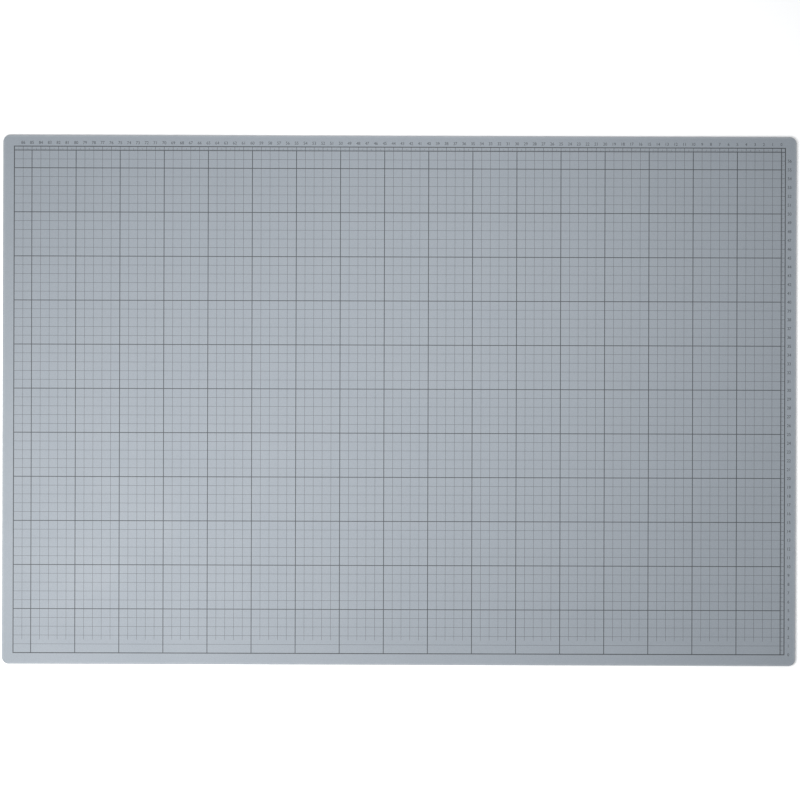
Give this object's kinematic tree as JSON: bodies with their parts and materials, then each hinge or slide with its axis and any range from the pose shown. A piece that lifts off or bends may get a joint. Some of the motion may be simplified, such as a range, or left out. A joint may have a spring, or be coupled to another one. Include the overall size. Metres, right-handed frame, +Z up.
{
  "type": "self healing mat",
  "caption": "Flat laminated cutting mat with rounded corners, a printed fine and bold measuring grid, a frame line and ruler bands along two sides.",
  "frame": {"origin": "middle of the underside, where the mat rests on the bench", "axes": "+X along the length, +Y across the width towards the far ruler band, +Z up out of the printed face"},
  "size_m": [0.9, 0.6, 0.0031],
  "materials": {
    "cutting_skin": "matte, finely pebbled",
    "under_skin": "matte, finely pebbled",
    "stiffener_sheet": "satin, hard",
    "core_sheet": "matte",
    "fine_ink": "matte screen ink",
    "bold_ink": "matte screen ink"
  },
  "bodies": {
    "root": {"bottom_skin": "under_skin", "lower_stiffener": "stiffener_sheet", "core": "core_sheet", "upper_stiffener": "stiffener_sheet", "top_skin": "cutting_skin", "frame_print": "bold_ink", "bold_grid_print": "bold_ink", "ruler_print": "bold_ink", "lengthwise_fine_print": "fine_ink", "crosswise_fine_print": "fine_ink"}
  },
  "joints": []
}
